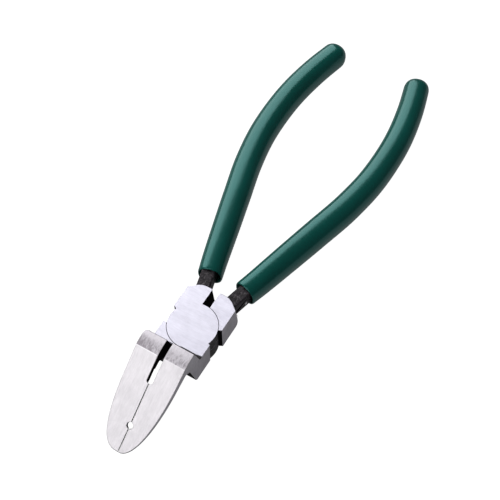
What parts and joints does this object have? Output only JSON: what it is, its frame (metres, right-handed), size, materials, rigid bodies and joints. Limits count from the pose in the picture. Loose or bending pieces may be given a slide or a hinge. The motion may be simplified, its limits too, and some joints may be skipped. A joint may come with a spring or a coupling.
{
  "type": "angled flush cutting pliers",
  "caption": "Lap-jointed pliers with broad blades bent forward and sloping down to a flush cutting edge, and bowed steel handles in dipped plastic grips.",
  "frame": {"origin": "the pivot axis where it meets the joint's flat back face", "axes": "+X to the right and +Y from the pivot towards the handles, seen from the front; +Z forward along the pivot axis, to the side where the blades stand proud"},
  "size_m": [0.0554, 0.1797, 0.0209],
  "materials": {
    "ground_steel": "finely ground tool steel, satin on the faces and darker on the sides",
    "rivet_steel": "rivet ground flush with the joint's faces",
    "green_dip": "smooth glossy dark green dipped vinyl"
  },
  "bodies": {
    "left_handle_half": {"front_half": "ground_steel", "pivot_rivet": "rivet_steel", "left_grip": "green_dip"},
    "right_handle_half": {"back_half": "ground_steel", "right_grip": "green_dip"}
  },
  "joints": [
    {"name": "pivot_hinge", "type": "hinge", "parent": "left_handle_half", "child": "right_handle_half", "pos_m": [0, 0, 0], "axis": [0, 0, -1], "range_deg": [0, 35]}
  ]
}
